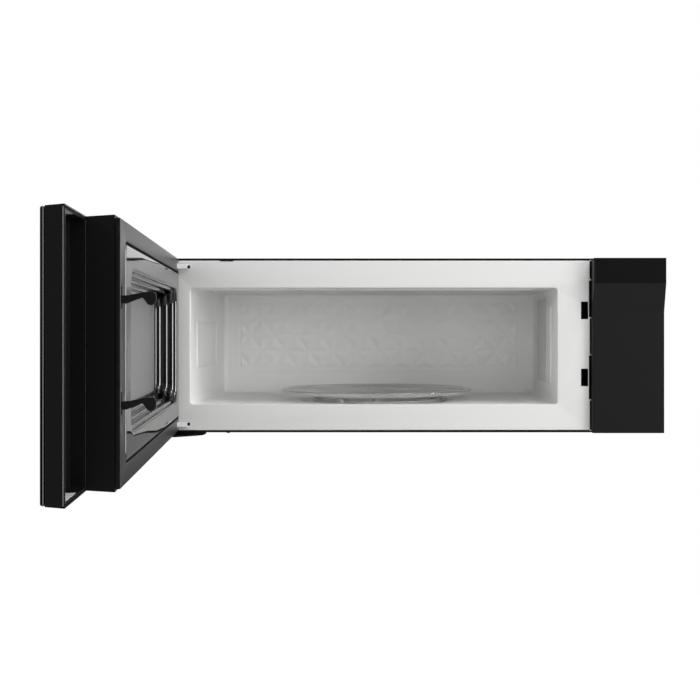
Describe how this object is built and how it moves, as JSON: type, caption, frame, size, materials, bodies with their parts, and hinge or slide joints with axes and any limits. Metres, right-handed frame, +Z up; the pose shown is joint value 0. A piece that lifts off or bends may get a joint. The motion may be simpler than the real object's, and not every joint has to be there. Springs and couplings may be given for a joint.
{
  "type": "over the range microwave oven",
  "caption": "Low-profile over-the-range microwave oven with a left-hinged door, glass turntable, control column and vent blower.",
  "frame": {"origin": "middle of the rear panel's outer face, on the wall plane", "axes": "+X to the user's right, +Y into the wall, +Z up"},
  "size_m": [0.7914, 1.1696, 0.2855],
  "materials": {
    "black_paint": "satin black powder coat",
    "black_plastic": "fine moulded grain",
    "gloss_black": "polished black",
    "white_enamel": "smooth white enamel",
    "grey_enamel": "satin light grey enamel",
    "galvanised": "zinc coated sheet",
    "bright_steel": "bright plated",
    "aluminium": "mill finish",
    "copper": "varnished copper wire",
    "mica": "pressed mica sheet",
    "tray_glass": "clear tempered glass",
    "door_glass": "black backed tempered glass",
    "screen": "screened window",
    "white_plastic": "moulded white",
    "grey_plastic": "moulded grey",
    "circuit_board": "glass epoxy board",
    "carbon": "charcoal pad in a card frame",
    "lens": "clear lamp glass"
  },
  "bodies": {
    "cabinet": {"outer_case": "black_paint", "base_plate": "black_paint", "rear_panel": "galvanised", "cord_inlet": "black_plastic", "charcoal_filter": "carbon", "front_plate": "white_enamel", "cavity_liner": "grey_enamel", "waveguide_cover": "mica", "control_column": "black_plastic", "control_board": "circuit_board", "waveguide": "galvanised", "magnetron": "galvanised", "transformer_core": "galvanised", "transformer_coils": "copper", "capacitor": "aluminium", "hv_diode": "black_plastic", "fan_shroud": "black_plastic", "fan_motor": "galvanised", "lamp_holder": "white_plastic", "cavity_lamp": "lens", "cooktop_lamp": "white_plastic", "blower_housing": "galvanised", "vent_motor": "galvanised", "damper_frame": "galvanised", "turntable_motor": "galvanised", "hinge_upper": "bright_steel", "hinge_lower": "bright_steel", "hinge_support": "black_plastic", "latch_body": "white_plastic", "interlock_switch_upper": "grey_plastic", "interlock_switch_lower": "grey_plastic"},
    "door": {"door_frame": "black_paint", "touch_sensor": "circuit_board", "door_glass": "door_glass", "door_box": "black_paint", "choke_cover": "black_plastic", "inner_panel": "gloss_black", "window_screen": "screen", "latch_spring": "bright_steel"},
    "latch": {"latch_bar": "black_plastic"},
    "turntable": {"glass_tray": "tray_glass", "turntable_coupler": "white_plastic"},
    "roller_ring": {"roller_ring": "white_plastic"},
    "roller_1": {"roller_1": "white_plastic"},
    "roller_2": {"roller_2": "white_plastic"},
    "roller_3": {"roller_3": "white_plastic"},
    "cooling_fan": {"fan_blades": "white_plastic"},
    "vent_wheels": {"vent_wheel_left": "galvanised", "vent_wheel_right": "galvanised"},
    "damper_flap": {"damper_flap": "galvanised"},
    "grease_filter_left": {"grease_filter_left": "aluminium"},
    "grease_filter_right": {"grease_filter_right": "aluminium"},
    "lamp_cover": {"lamp_cover": "lens"},
    "switch_plunger_upper": {"switch_plunger_upper": "white_plastic"},
    "switch_plunger_lower": {"switch_plunger_lower": "white_plastic"}
  },
  "joints": [
    {"name": "door_hinge", "type": "hinge", "parent": "cabinet", "child": "door", "pos_m": [-0.3685, -0.422, 0], "axis": [0, 0, 1], "range_deg": [-16.4, 83.6]},
    {"name": "latch_lift", "type": "slide", "parent": "door", "child": "latch", "axis": [0, 0, 1], "range_m": [0, 0.006], "stiffness_N_per_m": 350, "springref_m": -0.006, "deforming": ["latch_spring"]},
    {"name": "turntable_spin", "type": "hinge", "parent": "cabinet", "child": "turntable", "pos_m": [-0.06155, -0.245, -0.085], "axis": [0, 0, 1], "continuous": true},
    {"name": "roller_ring_spin", "type": "hinge", "parent": "cabinet", "child": "roller_ring", "pos_m": [-0.06155, -0.245, -0.0918], "axis": [0, 0, 1], "continuous": true},
    {"name": "roller_1_spin", "type": "hinge", "parent": "roller_ring", "child": "roller_1", "pos_m": [0.05045, -0.245, -0.0918], "axis": [1, 0, 0], "continuous": true},
    {"name": "roller_2_spin", "type": "hinge", "parent": "roller_ring", "child": "roller_2", "pos_m": [-0.11755, -0.148, -0.0918], "axis": [-0.5, 0.866, 0], "continuous": true},
    {"name": "roller_3_spin", "type": "hinge", "parent": "roller_ring", "child": "roller_3", "pos_m": [-0.11755, -0.34199, -0.0918], "axis": [-0.5, -0.866, 0], "continuous": true},
    {"name": "cooling_fan_spin", "type": "hinge", "parent": "cabinet", "child": "cooling_fan", "pos_m": [0.298, -0.127, 0.015], "axis": [0, 1, 0], "continuous": true},
    {"name": "vent_wheels_spin", "type": "hinge", "parent": "cabinet", "child": "vent_wheels", "pos_m": [0, -0.0405, 0.038], "axis": [1, 0, 0], "continuous": true},
    {"name": "damper_flap_hinge", "type": "hinge", "parent": "cabinet", "child": "damper_flap", "pos_m": [0, -0.0065, 0.137], "axis": [1, 0, 0], "range_deg": [-75, 0]},
    {"name": "grease_filter_left_tilt", "type": "hinge", "parent": "cabinet", "child": "grease_filter_left", "pos_m": [-0.21855, -0.092, -0.133], "axis": [1, 0, 0], "range_deg": [0, 60]},
    {"name": "grease_filter_right_tilt", "type": "hinge", "parent": "cabinet", "child": "grease_filter_right", "pos_m": [0.09545, -0.092, -0.133], "axis": [1, 0, 0], "range_deg": [0, 60]},
    {"name": "lamp_cover_tilt", "type": "hinge", "parent": "cabinet", "child": "lamp_cover", "pos_m": [-0.06155, -0.302, -0.133], "axis": [1, 0, 0], "range_deg": [0, 80]},
    {"name": "switch_plunger_upper_press", "type": "slide", "parent": "cabinet", "child": "switch_plunger_upper", "axis": [0, 1, 0], "range_m": [0, 0.0015], "stiffness_N_per_m": 400, "springref_m": -0.002},
    {"name": "switch_plunger_lower_press", "type": "slide", "parent": "cabinet", "child": "switch_plunger_lower", "axis": [0, 1, 0], "range_m": [0, 0.0015], "stiffness_N_per_m": 400, "springref_m": -0.002}
  ],
  "couplings": [
    {"joint": "roller_ring_spin", "follows": "turntable_spin", "ratio": 0.5},
    {"joint": "roller_1_spin", "follows": "turntable_spin", "ratio": -9.3333},
    {"joint": "roller_2_spin", "follows": "turntable_spin", "ratio": -9.3333},
    {"joint": "roller_3_spin", "follows": "turntable_spin", "ratio": -9.3333}
  ]
}
